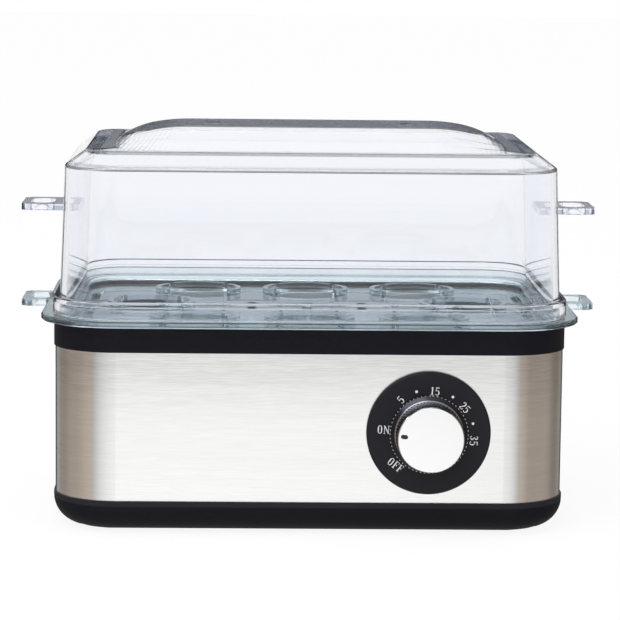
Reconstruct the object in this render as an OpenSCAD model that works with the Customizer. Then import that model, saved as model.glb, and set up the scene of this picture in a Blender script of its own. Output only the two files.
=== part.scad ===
// Egg cooker: a steel-sleeved steam base with a rotary timer, a clear egg tray and a clear lid.
// Millimetres, +Z up. The origin is the centre of the footprint on the surface it stands on.
// Every outline is a rounded rectangle with the same four corner centres, so each wall, lip and
// flange is given only by its own corner radius.

/* [Base] */
// Width of the steel body
body_w = 194; // [180:1:210]
// Depth of the steel body
body_d = 142; // [134:1:156]
// Corner radius of the steel body
corner_r = 24; // [23:0.5:26]
// Height that the rubber feet lift the base
foot_lift = 0.8; // [0.6:0.1:1.4]
// Height of the black band below the steel
band_h = 12.1; // [11.6:0.1:14]
// Radius of the rounded bottom edge
bottom_edge_r = 10.5; // [7:0.5:11]
// Height of the steel sleeve
sleeve_h = 56.5; // [55:0.5:62]
// Height of the black collar above the steel
collar_h = 9.8; // [9.4:0.1:12]
// Thickness of the steel sleeve
sleeve_t = 0.8; // [0.6:0.1:1]
// How far the mouldings stand proud of the steel
proud = 0.6; // [0.3:0.1:1]
// Wall thickness of the black mouldings
moulding_t = 2; // [1.6:0.1:2.3]
// Height of the lips that locate the sleeve
lip_h = 7; // [4:0.5:7]

/* [Feet and screws] */
// Length of a rubber foot
foot_l = 28; // [20:1:30]
// Width of a rubber foot
foot_w = 9; // [7:0.5:10]
// Distance of the feet from the middle of the base, side to side
foot_x = 66; // [58:0.5:67]
// Distance of the feet from the middle of the base, front to back
foot_y = 54; // [48:0.5:55]
// Shank diameter of the long base screws
screw_d = 3; // [2.5:0.1:3.2]
// Length of the long base screws under the head
screw_l = 32; // [28:1:38]

/* [Boiling pan] */
// Depth of the boiling pan
pan_depth = 13; // [10:0.5:13.5]
// Thickness of the pan sheet
pan_t = 0.8; // [0.6:0.1:1]
// Distance of the pan wall from the outside of the steel
pan_inset = 12; // [11.5:0.1:13]
// Thickness of the silicone seal under the pan rim
seal_t = 0.8; // [0.5:0.1:1.2]

/* [Heater] */
// Diameter of the heating tube
tube_d = 6.6; // [5.5:0.1:7]
// Distance between the two legs of the heating tube
leg_pitch = 40; // [36:1:44]
// Length of the straight legs of the heating tube
leg_l = 70; // [60:1:76]
// Thickness of the heat spreader
spreader_t = 2.4; // [1.5:0.1:2.6]
// Depth of the heat shield below the pan
shield_depth = 12.3; // [12:0.1:13]

/* [Timer and knob] */
// Distance of the dial from the middle of the body
dial_x = 44.5; // [38:0.5:46]
// Height of the dial axis above the surface
dial_z = 39.9; // [39:0.1:41]
// Diameter of the dial plate
dial_d = 46.8; // [38:0.2:48]
// Thickness of the dial plate
dial_t = 2; // [1.8:0.1:3]
// Diameter of the skirt of the knob
knob_skirt_d = 29.6; // [27:0.2:32]
// Diameter of the barrel of the knob
knob_barrel_d = 25.6; // [24:0.2:26.4]
// How far the knob stands out
knob_h = 14; // [12:0.5:18]
// Number of grooves in the knurling
knurl_count = 60; // [36:1:72]
// Diameter of the timer shaft
shaft_d = 6; // [5:0.1:6.4]
// Width and height of the timer case
timer_w = 36; // [32:1:36]
// Depth of the timer case
timer_depth = 20; // [17:1:20]

/* [Egg tray] */
// How far the tray flange stands out past the steel
flange_out = 5.4; // [4:0.1:7]
// Thickness of the tray flange
flange_t = 2.4; // [2:0.1:2.6]
// Depth of the deck below the flange
deck_drop = 3.6; // [3:0.1:4]
// Thickness of the deck
deck_t = 2.4; // [2:0.1:2.4]
// Height of the rib that locates the lid
rib_h = 3.4; // [2.5:0.1:4]
// Diameter of an egg hole
egg_hole_d = 31; // [28:0.5:33]
// Distance between egg holes in a row
egg_pitch = 44; // [40:0.5:45]
// Distance of the outer rows from the middle row
row_y = 41; // [38:0.5:43]
// Distance of the two middle eggs from the middle of the tray
side_x = 62; // [60:0.5:63]

/* [Lid] */
// Height of the lid from the tray flange to its flat top
lid_h = 62.8; // [56:0.2:72]
// Wall thickness of the lid
lid_t = 2.2; // [1.8:0.1:2.6]
// How far the lid skirt stands out past the steel
skirt_out = 1; // [0.4:0.1:2]
// Height of the lid skirt
skirt_h = 6.6; // [6:0.1:9]
// Thickness of the lid skirt
skirt_t = 2.4; // [2:0.1:2.6]
// Width of the ledge on top of the skirt
ledge_w = 2.7; // [2.4:0.1:3]
// How far the lid wall leans in over its height
lid_draft = 1.9; // [1:0.1:3]
// Width of the sloping shoulder of the lid
shoulder_w = 8.1; // [6:0.1:9]
// Height of the sloping shoulder of the lid
shoulder_h = 5.9; // [4:0.1:7]
// Rounding from the lid's shoulder to its top
top_edge_r = 1.5; // [1:0.5:3]
// How far the border of the lid's top falls to its edge
top_fall = 0.6; // [0:0.1:1]

/* [Lid bridge] */
// Length of the raised bridge on the lid
bridge_l = 150.6; // [130:0.2:152]
// Width of the bridge at its crest
bridge_crest_w = 39.2; // [30:0.2:44]
// Height of the bridge above the lid top
bridge_h = 6.6; // [4:0.2:10]
// Length of the level part of the bridge
bridge_flat_l = 90; // [60:1:96]
// Number of steps in each curved end of the bridge
bridge_steps = 16; // [8:1:20]
// Diameter of a steam vent
vent_d = 5; // [3:0.2:7]
// Distance between the two steam vents
vent_pitch = 76; // [50:1:84]

/* [Grip tabs] */
// How far the grip tabs reach past the steel
tab_reach = 15.6; // [15:0.1:20]
// Width of a grip tab
tab_w = 28.6; // [26:0.2:34]
// Thickness of the lid tabs
tab_t = 2.5; // [2:0.1:3]
// Width of the finger hole across the tab
finger_w = 9.4; // [8.6:0.1:9.6]
// Length of the finger hole along the tab
finger_l = 18; // [16:0.5:20]
// Height of the lid tabs above the tray flange
tab_z = 35.3; // [26:0.1:44]

/* [Fits] */
// Clearance between pieces that are put together
fit_gap = 0.3; // [0.2:0.05:0.4]
// Clearance of the shaft in its bearing
run_gap = 0.05; // [0.03:0.01:0.08]

/* [Hidden] */
$fn = 64;

// Corner centres that every outline shares
corner_x = body_w / 2 - corner_r;
corner_y = body_d / 2 - corner_r;

// Corner radii of the base, from the outside in
band_r = corner_r + proud;
sleeve_in_r = corner_r - sleeve_t;
lip_r = sleeve_in_r - fit_gap;
mouth_r = lip_r - moulding_t;
pan_r = corner_r - pan_inset;
pan_rim_r = mouth_r - 0.5;
ledge_r = pan_r + 1;

// Heights of the base and the tray
shell_z = foot_lift;
sleeve_z = shell_z + band_h;
collar_z = sleeve_z + sleeve_h;
seat_z = collar_z + collar_h;
flange_z = seat_z + flange_t;
deck_z = flange_z - deck_drop;
pan_gap = 0.5;
rim_z = deck_z - deck_t - pan_gap;
ledge_z = rim_z - pan_t - seal_t;
ledge_t = 2.5;
pan_z = rim_z - pan_depth;
pan_under_z = pan_z - pan_t;
pan_fillet = 4;

// Base shell
floor_t = 2.5;
floor_z = shell_z + floor_t;
drain_w = 3;
drain_l = 34;
drain_pitch = 9;

// Posts in the four corners, outside the pan
post_r = 3.5;
boss_r = 4.2;
post_off = pan_r + fit_gap + post_r;
post_x = corner_x + post_off * cos(45);
post_y = corner_y + post_off * sin(45);
post_z = shell_z + 26;
screw_head_d = 5.6;
screw_head_t = 2.4;
screw_z = shell_z + 7;

// Feet
foot_seat = 1.2;

// Heater stack under the pan
spreader_l = 116;
spreader_w = 66;
spreader_z = pan_under_z - spreader_t;
tube_z = spreader_z - tube_d / 2 - run_gap;
shield_t = 0.8;
shield_l = 156;
shield_w = 80;
shield_z = pan_under_z - shield_depth;
stud_x = 70;
stud_y = 25;
stud_d = 4;
strap_t = 1.5;
strap_w = 10;
strap_z = shield_z - strap_t;
strap_leg_y = corner_y + pan_r + 0.5;
strap_foot = 4.5;
nut_t = 3.2;
nut_d = 8;
stud_l = pan_under_z - strap_z + nut_t + 1.5;
pin_x = -leg_l / 2 - 12;
pin_d = 3.2;
pin_drop = 13;
bead_d = 8;
bead_h = 7;
thermostat_d = 16;
thermostat_h = 7;
blade_t = 0.8;
blade_w = 5;
fuse_d = 4;
fuse_l = 12;
fuse_x = -26;
fuse_y = -26;

// Timer, dial and knob; the shaft axis runs along Y
front_y = -body_d / 2;
bracket_y = front_y + sleeve_t;
bracket_t = 1.2;
bracket_l = 50;
bracket_h = 30;
case_y = bracket_y + bracket_t;
bush_d = 10;
dial_hole_d = 22;
timer_screw_x = 7.9;
timer_screw_d = 2.6;
knob_gap = 0.5;
knob_y = front_y - dial_t - knob_gap;
knob_tip_y = knob_y - knob_h;
knob_skirt_h = 3;
knob_rim = 0.8;
shaft_in = 11;
bore_depth = 10;
knurl_depth = 0.35;
pointer_r = 10;
pointer_l = 2.6;
pointer_w = 1.5;
pointer_t = 0.6;
pointer_turn = 173;
bell_d = 24;
bell_h = 7;
bell_drop = 6;
bell_post_d = 8;
bell_post_h = 1.5;

// Rear inlet
gland_x = -60;
gland_z = shell_z + 30;
gland_hole_d = 12;
gland_bore_d = 7.4;
gland_flange_d = 17;

// Terminal block on the floor
block_x = -56;
block_y = 34;
block_l = 34;
block_w = 14;
block_h = 13;
block_pitch = 10;

// Tray
flange_r = corner_r + flange_out;
recess_r = mouth_r - 0.5;
deck_r = recess_r - flange_t;
skirt_r = corner_r + skirt_out;
skirt_in_r = skirt_r - skirt_t;
rib_r = skirt_in_r - fit_gap;
rib_t = 2;
ring_t = 2;
ring_h = 2.2;
slot_w = 4;
slot_l = 26;
slot_x = corner_x + deck_r - 4.5;
slot_y = 22;
mid_slot_w = 4;
mid_slot_l = 22;
mid_slot_pitch = 22;
notch_w = 2.4;
notch_l = 4;

// Lid
top_z = flange_z + lid_h;
wall_r = skirt_r - ledge_w;
shoulder_r = wall_r - lid_draft;
shoulder_z = top_z - top_fall - shoulder_h;
top_r = shoulder_r - shoulder_w;
shoulder_a = atan2(shoulder_h, shoulder_w);
bridge_rise_l = (bridge_l - bridge_flat_l) / 2;
bridge_arc_r = (bridge_rise_l * bridge_rise_l + bridge_h * bridge_h) / (2 * bridge_h);
crest_z = top_z + bridge_h;
bridge_sink = 0.1;
bridge_base_z = top_z - top_fall - lid_t / 2;
bridge_foot_y = corner_y + top_r - 1;
bridge_foot_z = top_z - top_fall * (top_r - 1) / top_r - bridge_sink;

// Tabs
tab_x = body_w / 2 + tab_reach;
finger_x = tab_x - 3.2 - finger_w / 2;
tab_corner = 2.5;

// The frame's origin is the centre of the whole footprint; the knob reaches out in front
centre_y = (-knob_tip_y - (corner_y + flange_r)) / 2;

black = "#232326";
steel = "#c9c7c2";
bright_steel = "#dcdcdc";
clear_tint = "#e6ecf2";
aqua_tint = "#b9dde3";
copper = "#b87333";
brass = "#c8a24a";
ceramic = "#efe9dc";
rubber = "#1a1a1a";

// ---- Helpers ----

// Moves the body's own centre to its place in the frame
module placed() translate([0, centre_y, 0]) children();

// Outline through the shared corner centres with corner radius r
module outline(r) {
    square([2 * (corner_x + r), 2 * corner_y], center = true);
    square([2 * corner_x, 2 * (corner_y + r)], center = true);
    for (x = [-corner_x, corner_x], y = [-corner_y, corner_y])
        translate([x, y]) circle(r);
}

// Band with the shared outline
module band(r_out, r_in, z0, z1) translate([0, 0, z0]) linear_extrude(z1 - z0)
    difference() {
        outline(r_out);
        outline(r_in);
    }

// Sweeps a profile round the outline. The profile's x is the corner radius, its y the height.
module swept() {
    for (k = [0:3])
        translate([(k == 0 || k == 3 ? 1 : -1) * corner_x, (k < 2 ? 1 : -1) * corner_y, 0])
            rotate(90 * k) rotate_extrude(angle = 90) children();
    for (turn = [0, 180]) rotate(turn) {
        translate([corner_x, 0, 0]) rotate([90, 0, 0])
            linear_extrude(2 * corner_y, center = true) children();
        rotate(90) translate([corner_y, 0, 0]) rotate([90, 0, 0])
            linear_extrude(2 * corner_x, center = true) children();
    }
}

// Closes the middle of a swept form whose profile starts on the corner centres
module middle(z0, z1) translate([-corner_x, -corner_y, z0])
    cube([2 * corner_x, 2 * corner_y, z1 - z0]);

function unit(v) = v / norm(v);
function cross_z(u, v) = u[0] * v[1] - u[1] * v[0];
function turned(v, a) = [v[0] * cos(a) - v[1] * sin(a), v[0] * sin(a) + v[1] * cos(a)];

// Points of the arc of radius r that rounds the corner b between a and c
function arc_corner(a, b, c, r, steps) =
    let (u = unit(a - b), v = unit(c - b),
         opening = acos(max(-1, min(1, u * v))),
         centre = b + unit(u + v) * r / sin(opening / 2),
         first = b + u * r / tan(opening / 2) - centre,
         sweep = (cross_z(u, v) > 0 ? -1 : 1) * (180 - opening))
    [for (i = [0:steps]) centre + turned(first, sweep * i / steps)];

// A closed outline with its corners rounded by the radii given, 0 for a sharp corner
function rounded(points, radii, steps = 3) =
    [for (i = [0:len(points) - 1])
        let (n = len(points), a = points[(i + n - 1) % n], b = points[i], c = points[(i + 1) % n])
        each (radii[i] > 0 ? arc_corner(a, b, c, radii[i], steps) : [b])];

// Oblong with round ends, long side along Y
module oblong(w, l) {
    square([w, l - w], center = true);
    for (s = [-1, 1]) translate([0, s * (l - w) / 2]) circle(w / 2);
}

// Cylinder along Y from y0 to y1
module y_rod(d, y0, y1) translate([0, y0, 0]) rotate([-90, 0, 0]) cylinder(d = d, h = y1 - y0);

module at_dial() translate([dial_x, 0, dial_z]) children();

module at_posts() for (x = [-post_x, post_x], y = [-post_y, post_y]) translate([x, y, 0]) children();

// Smooth path through hand-placed points, with extra points between them
function spline_point(p0, p1, p2, p3, t) =
    0.5 * (2 * p1 + (p2 - p0) * t + (2 * p0 - 5 * p1 + 4 * p2 - p3) * t * t
        + (3 * p1 - p0 - 3 * p2 + p3) * t * t * t);
function smooth_path(pts, steps) =
    let (last = len(pts) - 1)
    concat([for (i = [0:last - 1], s = [0:steps - 1])
        spline_point(pts[max(i - 1, 0)], pts[i], pts[i + 1], pts[min(i + 2, last)], s / steps)],
        [pts[last]]);

// Insulated wire swept along a smooth path
module wire(route, d, sides = 8, steps = 4) {
    path = smooth_path(route, steps);
    last = len(path) - 1;
    function along(i) = unit(path[min(i + 1, last)] - path[max(i - 1, 0)]);
    function side(i) = let (t = along(i)) unit(cross(abs(t[2]) > 0.9 ? [1, 0, 0] : [0, 0, 1], t));
    // The side vector is carried from ring to ring so that the tube doesn't twist
    function carried(i) = i == 0 ? side(0) : let (v = carried(i - 1), t = along(i)) unit(v - t * (t * v));
    rings = [for (i = [0:last]) let (u = carried(i), v = cross(along(i), u))
        for (k = [0:sides - 1]) path[i] + (u * cos(360 * k / sides) + v * sin(360 * k / sides)) * d / 2];
    walls = [for (i = [0:last - 1], k = [0:sides - 1])
        let (a = i * sides + k, b = i * sides + (k + 1) % sides) each
            [[a, b, b + sides], [a, b + sides, a + sides]]];
    caps = concat([for (k = [1:sides - 2]) [0, k + 1, k]],
        [for (k = [1:sides - 2]) [last * sides, last * sides + k, last * sides + k + 1]]);
    polyhedron(points = rings, faces = [for (f = concat(walls, caps)) [f[0], f[2], f[1]]]);
}

// ---- Base ----

// Lower moulding: rounded band, floor, locating lip, screw bosses and drain slots
module base_shell() color(black) placed() difference() {
    union() {
        swept() difference() {
            union() {
                translate([0, shell_z]) square([band_r - bottom_edge_r, floor_t]);
                intersection() {
                    translate([band_r - bottom_edge_r, shell_z + bottom_edge_r]) circle(bottom_edge_r);
                    translate([0, shell_z]) square([band_r, bottom_edge_r]);
                }
                translate([mouth_r, shell_z + bottom_edge_r])
                    square([band_r - mouth_r, band_h - bottom_edge_r]);
                translate([mouth_r, sleeve_z - 1]) square([moulding_t, lip_h + 1]);
            }
            translate([-1, floor_z]) square([mouth_r + 1 - floor_t, band_h]);
            translate([mouth_r - floor_t - 1, floor_z + floor_t]) square([floor_t + 1, band_h]);
        }
        middle(shell_z, floor_z);
        at_posts() translate([0, 0, floor_z - 0.5]) cylinder(r = boss_r, h = post_z - floor_z + 0.5);
    }
    at_posts() {
        translate([0, 0, shell_z - 1]) cylinder(d = screw_d + 0.4, h = post_z + 2);
        translate([0, 0, shell_z - 1]) cylinder(d = screw_head_d + 0.6, h = screw_z - shell_z + 1);
    }
    for (x = [-foot_x, foot_x], y = [-foot_y, foot_y])
        translate([x, y, shell_z - 1]) linear_extrude(foot_seat + 1)
            rotate(90) oblong(foot_w + 2 * run_gap, foot_l + 2 * run_gap);
    for (i = [-2:2]) translate([i * drain_pitch, 0, shell_z - 1])
        linear_extrude(floor_t + 2) oblong(drain_w, drain_l);
}

// Brushed steel band with the timer opening in front and the inlet hole behind
module steel_sleeve() color(steel) placed() difference() {
    band(corner_r, sleeve_in_r, sleeve_z, collar_z);
    at_dial() y_rod(dial_hole_d, front_y - 1, front_y + sleeve_t + 1);
    translate([gland_x, 0, gland_z]) y_rod(gland_hole_d, -front_y - sleeve_t - 1, -front_y + 1);
}

// Upper moulding: collar, sleeve lip, ledge for the pan and four screw posts
module top_collar() color(black) placed() difference() {
    union() {
        swept() polygon([[mouth_r, seat_z], [band_r - 0.5, seat_z], [band_r - 0.1, seat_z - 0.4],
            [band_r - 0.1, collar_z], [lip_r, collar_z], [lip_r, collar_z - lip_h],
            [mouth_r, collar_z - lip_h], [mouth_r, ledge_z - ledge_t], [ledge_r, ledge_z - ledge_t],
            [ledge_r, ledge_z], [mouth_r, ledge_z]]);
        at_posts() translate([0, 0, post_z]) cylinder(r = post_r, h = ledge_z - ledge_t + 0.5 - post_z);
    }
    at_posts() translate([0, 0, post_z - 1])
        cylinder(d = screw_d + 2 * run_gap, h = screw_l + screw_z + screw_head_t - post_z + 3);
}

// Stainless boiling pan with a flat rim and four welded studs
module boil_pan() color(bright_steel) placed() {
    swept() polygon([[pan_rim_r, rim_z - pan_t], [pan_rim_r, rim_z], [pan_r - pan_t, rim_z],
        [pan_r - pan_t, pan_z + pan_fillet], [pan_r - pan_t - pan_fillet, pan_z], [0, pan_z],
        [0, pan_under_z], [pan_r - pan_fillet, pan_under_z], [pan_r, pan_under_z + pan_fillet],
        [pan_r, rim_z - pan_t]]);
    middle(pan_under_z, pan_z);
    for (x = [-stud_x, stud_x], y = [-stud_y, stud_y])
        translate([x, y, pan_under_z - stud_l]) cylinder(d = stud_d, h = stud_l + pan_t / 2);
}

// Silicone ring between the pan rim and the ledge
module pan_seal() color("#b8483a") placed() band(pan_rim_r - 0.5, ledge_r + 0.5, ledge_z, rim_z - pan_t);

// Two bent straps that hook under the ledge and pull the pan down
module pan_straps() color(bright_steel) placed() for (x = [-stud_x, stud_x]) difference() {
    translate([x - strap_w / 2, 0, 0]) rotate([90, 0, 90]) linear_extrude(strap_w)
        for (m = [0, 1]) mirror([m, 0]) {
            translate([-1, strap_z]) square([strap_leg_y + strap_t + 1, strap_t]);
            translate([strap_leg_y, strap_z]) square([strap_t, ledge_z - ledge_t - strap_z]);
            translate([strap_leg_y, ledge_z - ledge_t - strap_t]) square([strap_foot, strap_t]);
        }
    for (y = [-stud_y, stud_y]) translate([x, y, strap_z - 1]) cylinder(d = stud_d + 0.4, h = strap_t + 2);
}

module strap_nuts() color(bright_steel) placed()
    for (x = [-stud_x, stud_x], y = [-stud_y, stud_y]) translate([x, y, strap_z - nut_t]) difference() {
        cylinder(d = nut_d, h = nut_t, $fn = 6);
        translate([0, 0, -1]) cylinder(d = stud_d + 2 * run_gap, h = nut_t + 2);
    }

// Aluminium plate that spreads the heat under the pan
module heat_spreader() color("#bfc3c6") placed() translate([0, 0, spreader_z]) linear_extrude(spreader_t)
    square([spreader_l, spreader_w], center = true);

// U-shaped heating tube with two cold pins
module heating_element() color("#77736d") placed() translate([0, 0, tube_z]) {
    for (s = [-1, 1]) {
        translate([-leg_l / 2, s * leg_pitch / 2, 0]) rotate([0, 90, 0]) cylinder(d = tube_d, h = leg_l);
        translate([pin_x, s * leg_pitch / 2, 0]) rotate([0, 90, 0])
            cylinder(d = pin_d, h = -leg_l / 2 - pin_x);
        translate([pin_x, s * leg_pitch / 2, 0]) sphere(d = pin_d);
        translate([pin_x, s * leg_pitch / 2, -pin_drop]) cylinder(d = pin_d, h = pin_drop);
    }
    translate([leg_l / 2, 0, 0]) rotate(-90) rotate_extrude(angle = 180)
        translate([leg_pitch / 2, 0]) circle(d = tube_d);
}

// Saddle clips that hold the tube against the spreader
module element_clips() color(bright_steel) placed()
    for (x = [-leg_l / 4, leg_l / 4], s = [-1, 1])
        translate([x, s * leg_pitch / 2, tube_z]) rotate([90, 0, 90]) linear_extrude(6, center = true) {
            difference() {
                union() {
                    circle(d = tube_d + 2.2);
                    translate([-tube_d / 2 - 1.1, 0]) square([tube_d + 2.2, spreader_z - tube_z]);
                }
                circle(d = tube_d + 0.2);
                translate([-tube_d / 2 - 0.1, 0]) square([tube_d + 0.2, tube_d]);
            }
            for (m = [0, 1]) mirror([m, 0]) translate([tube_d / 2 + 0.5, spreader_z - tube_z - 1])
                square([4.5, 1]);
        }

// Ceramic beads that carry the cold pins through the heat shield
module terminal_beads() color(ceramic) placed()
    for (s = [-1, 1]) translate([pin_x, s * leg_pitch / 2, shield_z - bead_h / 2]) difference() {
        union() {
            cylinder(d = bead_d, h = bead_h);
            translate([0, 0, bead_h / 2 - 1.2]) cylinder(d = bead_d + 3, h = 1.2);
        }
        translate([0, 0, -1]) cylinder(d = pin_d + 0.2, h = bead_h + 2);
    }

// Sheet-steel tray that keeps the heat under the pan
module heat_shield() color(bright_steel) placed() difference() {
    translate([-shield_l / 2, -shield_w / 2, shield_z]) cube([shield_l, shield_w, shield_depth]);
    translate([-shield_l / 2 + shield_t, -shield_w / 2 + shield_t, shield_z + shield_t])
        cube([shield_l - 2 * shield_t, shield_w - 2 * shield_t, shield_depth]);
    for (x = [-stud_x, stud_x], y = [-stud_y, stud_y])
        translate([x, y, shield_z - 1]) cylinder(d = stud_d + 0.4, h = shield_t + 2);
    for (s = [-1, 1])
        translate([pin_x, s * leg_pitch / 2, shield_z - 1]) cylinder(d = bead_d + 0.2, h = shield_t + 2);
    translate([0, 0, shield_z - 1]) cylinder(d = thermostat_d + 3, h = shield_t + 2);
}

// Disc thermostat pressed against the spreader, with two blades
module thermostat() color("#3b3b3b") placed() translate([0, 0, spreader_z - thermostat_h]) {
    cylinder(d = thermostat_d, h = thermostat_h);
    for (s = [-1, 1]) translate([s * 4 - blade_t / 2, -blade_w / 2, -7]) cube([blade_t, blade_w, 7.5]);
}

// Thermal fuse clipped under the heat shield
module thermal_fuse() color(bright_steel) placed()
    translate([fuse_x - fuse_l / 2, fuse_y, shield_z - fuse_d / 2 - run_gap]) rotate([0, 90, 0]) {
        cylinder(d = fuse_d, h = fuse_l);
        translate([0, 0, -5]) cylinder(d = 1.2, h = fuse_l + 10);
    }

module fuse_clip() color(bright_steel) placed()
    translate([fuse_x, fuse_y, shield_z - fuse_d / 2 - run_gap]) rotate([90, 0, 90])
        linear_extrude(5, center = true) {
            difference() {
                union() {
                    circle(d = fuse_d + 1.8);
                    translate([-fuse_d / 2 - 0.9, 0]) square([fuse_d + 1.8, fuse_d / 2 + run_gap]);
                }
                circle(d = fuse_d + 0.2);
                translate([-fuse_d / 2 - 0.1, 0]) square([fuse_d + 0.2, fuse_d]);
            }
            for (m = [0, 1]) mirror([m, 0]) translate([fuse_d / 2 + 0.5, fuse_d / 2 + run_gap - 0.8])
                square([5, 0.8]);
        }

// ---- Timer ----

module timer_bracket() color(bright_steel) placed() at_dial() difference() {
    translate([-bracket_l / 2, bracket_y, -bracket_h / 2]) cube([bracket_l, bracket_t, bracket_h]);
    y_rod(bush_d + 0.4, bracket_y - 1, case_y + 1);
    for (s = [-1, 1]) translate([s * timer_screw_x, 0, 0])
        y_rod(timer_screw_d + 0.3, bracket_y - 1, case_y + 1);
}

// Closed clockwork case with a bush for the shaft
module timer_case() color("#d8d4c6") placed() at_dial() difference() {
    union() {
        translate([-timer_w / 2, case_y, -timer_w / 2]) cube([timer_w, timer_depth, timer_w]);
        y_rod(bush_d, front_y - dial_t + 1, case_y + 1);
        translate([0, 0, -bell_drop]) y_rod(bell_post_d, case_y, case_y + timer_depth + bell_post_h);
    }
    y_rod(shaft_d + 2 * run_gap, front_y - dial_t, case_y + shaft_in + 1);
    for (s = [-1, 1]) translate([s * timer_screw_x, 0, 0])
        y_rod(timer_screw_d + 2 * run_gap, case_y - 1, case_y + 8);
}

// Bell cup behind the clockwork, below the heat shield
module timer_bell() color(bright_steel) placed() at_dial()
    translate([0, case_y + timer_depth + bell_post_h, -bell_drop]) rotate([-90, 0, 0])
        rotate_extrude() difference() {
        polygon([[0, 0], [bell_d / 4, 0], [bell_d / 2, bell_h - 3], [bell_d / 2, bell_h], [0, bell_h]]);
        translate([0, 1]) polygon([[0, 0], [bell_d / 4 - 0.4, 0], [bell_d / 2 - 1, bell_h - 3],
            [bell_d / 2 - 1, bell_h], [0, bell_h]]);
    }

module timer_terminals() color(brass) placed() at_dial()
    for (z = [-8, 3]) translate([timer_w / 2, case_y + 9, z]) cube([6, blade_w, blade_t]);

// Two screws hidden under the knob that clamp dial, sleeve, bracket and clockwork together
module timer_screws() color(bright_steel) placed() at_dial() for (s = [-1, 1])
    translate([s * timer_screw_x, 0, 0]) {
        y_rod(timer_screw_d + 2, front_y - dial_t + 0.2, front_y - dial_t + 1.2);
        y_rod(timer_screw_d, front_y - dial_t + 1, case_y + 7);
    }

// Black dial plate that the markings stand on, with a boss through the sleeve
module dial_plate() color(black) placed() at_dial() difference() {
    union() {
        rotate([-90, 0, 0]) translate([0, 0, front_y - dial_t]) {
            cylinder(d1 = dial_d - 1.6, d2 = dial_d, h = 0.8);
            translate([0, 0, 0.8]) cylinder(d = dial_d, h = dial_t - 0.8);
        }
        y_rod(dial_hole_d - 2 * fit_gap, front_y - 0.5, bracket_y);
    }
    y_rod(bush_d + 0.4, front_y - dial_t + 0.8, bracket_y + 1);
    y_rod(shaft_d + 1.2, front_y - dial_t - 1, bracket_y);
    for (s = [-1, 1]) translate([s * timer_screw_x, 0, 0]) {
        y_rod(timer_screw_d + 0.3, front_y - dial_t - 1, bracket_y + 1);
        y_rod(timer_screw_d + 2.3, front_y - dial_t - 1, front_y - dial_t + 1.2);
    }
}

// Shaft that the knob turns
module timer_shaft() color(bright_steel) placed() at_dial()
    y_rod(shaft_d, knob_y - bore_depth + 0.5, case_y + shaft_in);

// Outline of a knurled rim: a circle with shallow grooves
module knurled(d, depth) polygon([for (i = [0:2 * knurl_count - 1])
    let (r = d / 2 - (i % 2 == 0 ? 0 : depth), turn = 180 * i / knurl_count) r * [cos(turn), sin(turn)]]);

// Chromed knob: knurled skirt, knurled barrel and a polished face
module knob() color("#e8e8ea") placed() at_dial() difference() {
    rotate([90, 0, 0]) translate([0, 0, -knob_y]) {
        linear_extrude(knob_skirt_h - 1) knurled(knob_skirt_d, knurl_depth);
        translate([0, 0, knob_skirt_h - 1])
            cylinder(d1 = knob_skirt_d - 2 * knurl_depth, d2 = knob_barrel_d, h = 1);
        linear_extrude(knob_h - 2) knurled(knob_barrel_d, knurl_depth);
        translate([0, 0, knob_h - 2]) cylinder(d = knob_barrel_d - 2 * knurl_depth, h = 2 - knob_rim);
        translate([0, 0, knob_h - knob_rim])
            cylinder(d1 = knob_barrel_d - 2 * knurl_depth, h = knob_rim,
                d2 = knob_barrel_d - 2 * knurl_depth - knob_rim);
    }
    y_rod(shaft_d + 2 * run_gap, knob_y - bore_depth, knob_y + 1);
    at_pointer() rotate([90, 0, 0]) linear_extrude(pointer_t + 1)
        rotate(90) oblong(pointer_w + 0.1, pointer_l + 0.1);
}

// Seat of the pointer mark in the knob face, at the rest position
module at_pointer()
    translate([pointer_r * cos(pointer_turn), knob_tip_y + pointer_t, pointer_r * sin(pointer_turn)])
        rotate([0, -pointer_turn, 0]) children();

module knob_pointer() color(black) placed() at_dial() at_pointer()
    rotate([90, 0, 0]) linear_extrude(pointer_t) rotate(90) oblong(pointer_w, pointer_l);

// ---- Wiring ----

module terminal_block() color(ceramic) placed() translate([block_x, block_y, floor_z]) difference() {
    translate([-block_l / 2, -block_w / 2, 0]) cube([block_l, block_w, block_h]);
    for (i = [-1:1]) translate([i * block_pitch, 0, block_h / 2]) {
        y_rod(4, -block_w / 2 - 1, block_w / 2 + 1);
        cylinder(d = 3.4, h = block_h);
    }
}

module terminal_screws() color(brass) placed() for (i = [-1:1])
    translate([block_x + i * block_pitch, block_y, floor_z + block_h - 5]) difference() {
        cylinder(d = 3.2, h = 4.5);
        translate([-2, -0.3, 3.7]) cube([4, 0.6, 1]);
    }

// Bush in the rear of the sleeve for the mains lead, held by a nut inside
module cord_gland() color(rubber) placed() translate([gland_x, 0, gland_z]) difference() {
    union() {
        y_rod(gland_flange_d, -front_y, -front_y + 1.6);
        y_rod(gland_hole_d - 0.4, -front_y - 8, -front_y + 1);
        translate([0, -front_y + 1.6, 0]) rotate([-90, 0, 0])
            cylinder(d1 = gland_hole_d, d2 = gland_hole_d - 1.6, h = 3);
    }
    y_rod(gland_bore_d, -front_y - 9, -front_y + 6);
}

module gland_nut() color(black) placed() translate([gland_x, 0, gland_z]) difference() {
    translate([0, -front_y - sleeve_t - 3, 0]) rotate([-90, 0, 0]) cylinder(d = 18, h = 3, $fn = 6);
    y_rod(gland_hole_d - 0.4 + 2 * run_gap, -front_y - 9, -front_y);
}

// Wire ends
live_y = block_y - block_w / 2 + 3;
term_z = floor_z + block_h / 2;
tab_end = [dial_x + timer_w / 2 + 7.8, case_y + 9 + blade_w / 2, 0];
blade_z = spreader_z - thermostat_h - 8.4;
pin_end_z = tube_z - pin_drop - 1.4;

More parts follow.
